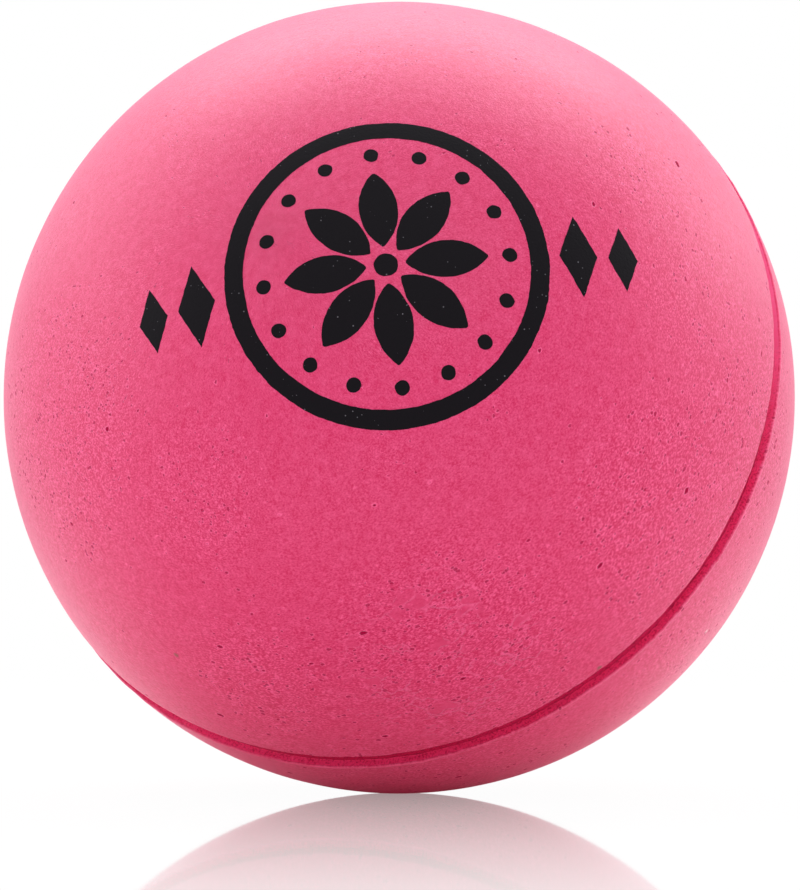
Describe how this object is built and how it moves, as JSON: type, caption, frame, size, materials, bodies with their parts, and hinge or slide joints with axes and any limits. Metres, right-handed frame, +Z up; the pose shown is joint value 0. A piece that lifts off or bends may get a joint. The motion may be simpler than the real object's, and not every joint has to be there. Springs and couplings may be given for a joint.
{
  "type": "bouncy ball",
  "caption": "Hollow rubber bouncing ball of two cemented half shells, with an open groove round the seam and a printed black ornament.",
  "frame": {"origin": "centre of the ball", "axes": "+Z up as the ball stands, -Y towards the viewer of the printed side, +X to that viewer's right"},
  "size_m": [0.06, 0.06, 0.06],
  "materials": {
    "pink_rubber": "matte, finely pitted",
    "seam_rubber": "rough, raw cement",
    "black_ink": "matte printed film"
  },
  "bodies": {
    "root": {"printed_half_shell": "pink_rubber", "plain_half_shell": "pink_rubber", "seam_cement": "seam_rubber", "print_rosette": "black_ink", "print_dots": "black_ink", "print_ring": "black_ink", "print_diamonds": "black_ink"}
  },
  "joints": []
}
